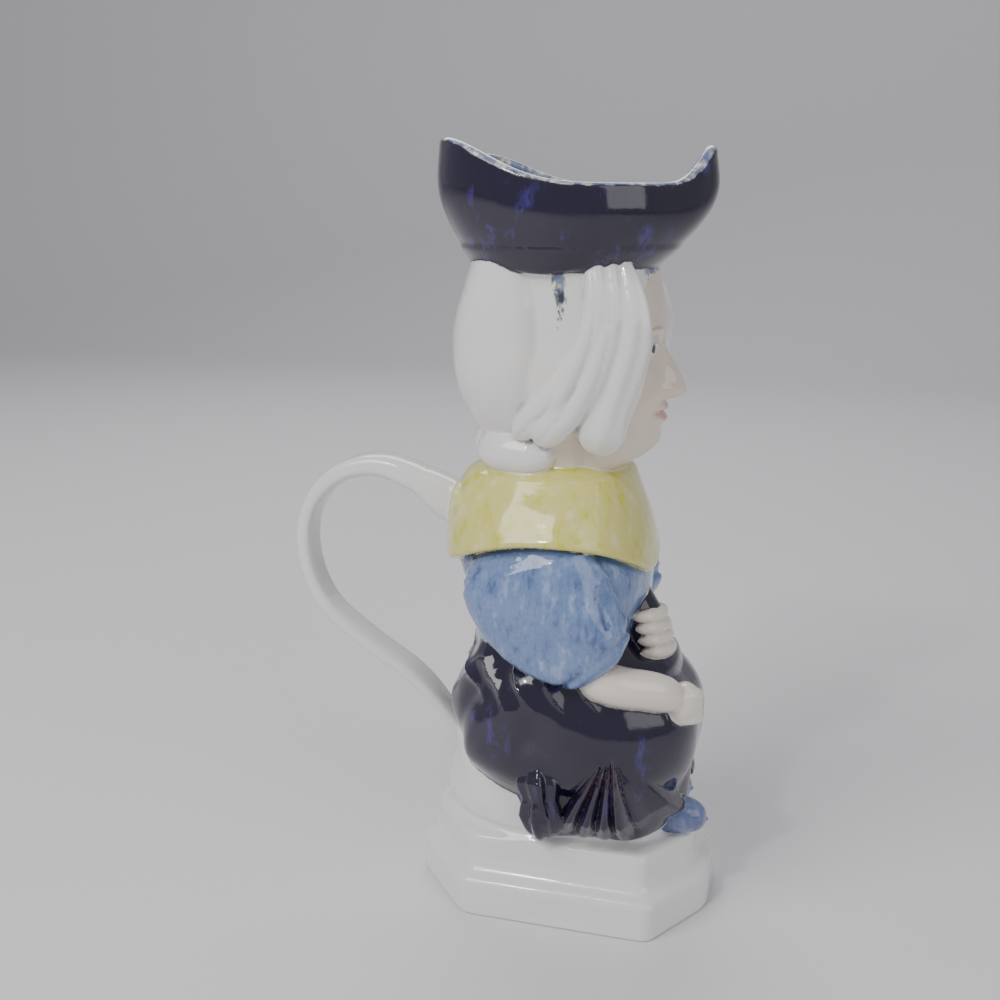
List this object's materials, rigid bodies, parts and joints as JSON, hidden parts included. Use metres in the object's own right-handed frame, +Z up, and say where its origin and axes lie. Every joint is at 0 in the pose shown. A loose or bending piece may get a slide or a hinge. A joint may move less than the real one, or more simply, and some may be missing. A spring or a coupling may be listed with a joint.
{
  "type": "toby jug",
  "caption": "Hollow glazed earthenware jug in the form of a seated woman in a three-cornered hat, open at the hat, with a strap handle behind and a stepped octagonal plinth.",
  "frame": {"origin": "centre of the plinth's flat underside", "axes": "+X the way the figure faces, away from the handle; +Y towards the figure's left; +Z up"},
  "size_m": [0.1396, 0.0807, 0.2354],
  "materials": {
    "glaze": "glossy clear glaze over white, with near-black navy hat and skirt, light blue jacket, soft yellow collar, cream skin and white hair, plinth and handle"
  },
  "bodies": {
    "root": {"toby_jug": "glaze"}
  },
  "joints": []
}
